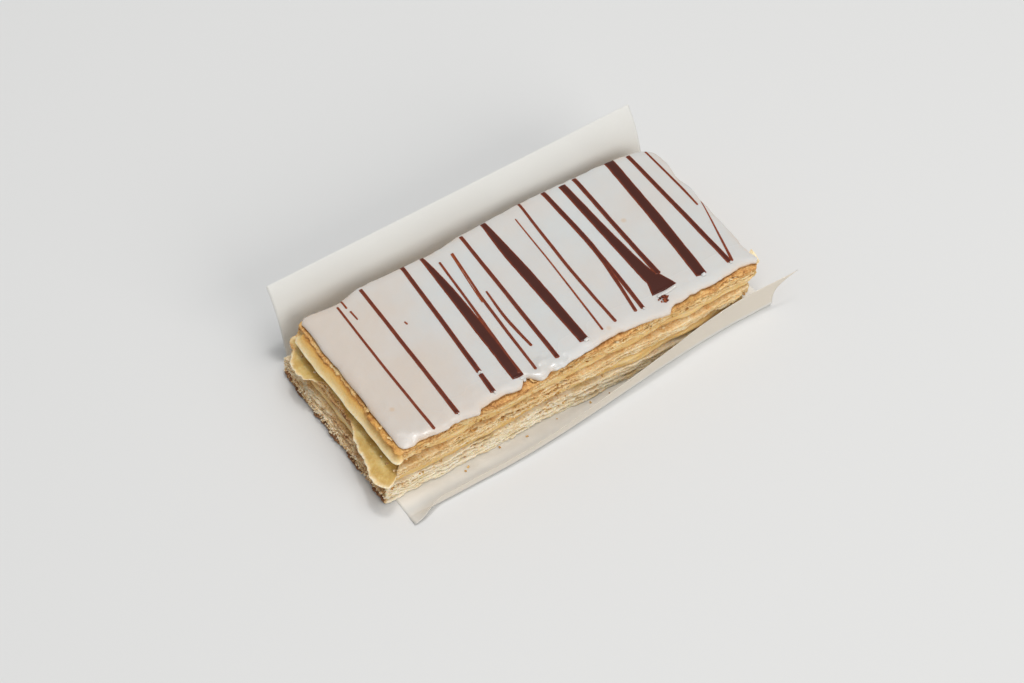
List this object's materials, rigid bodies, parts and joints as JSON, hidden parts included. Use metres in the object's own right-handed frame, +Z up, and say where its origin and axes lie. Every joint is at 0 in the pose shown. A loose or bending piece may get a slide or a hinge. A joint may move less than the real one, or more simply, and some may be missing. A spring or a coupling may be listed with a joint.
{
  "type": "mille feuille slice",
  "caption": "Oblong cream slice of flaky pastry sheets and custard layers under striped fondant icing, lying on a folded sheet of greaseproof paper.",
  "frame": {"origin": "on the flat underside of the paper, below the middle of the slice", "axes": "+X along the slice, +Y to its back, where the paper stands up, +Z up"},
  "size_m": [0.1525, 0.0838, 0.0286],
  "materials": {
    "greaseproof_paper": "smooth, thin and slightly translucent",
    "puff_pastry": "golden brown baked leaves, dry and flaky",
    "custard": "set custard, soft sheen",
    "fondant_icing": "glossy white sugar icing",
    "chocolate": "set dark chocolate lines, satin"
  },
  "bodies": {
    "root": {"paper": "greaseproof_paper", "pastry_bottom": "puff_pastry", "custard_lower": "custard", "pastry_middle": "puff_pastry", "custard_upper": "custard", "pastry_top": "puff_pastry", "icing": "fondant_icing"}
  },
  "joints": []
}
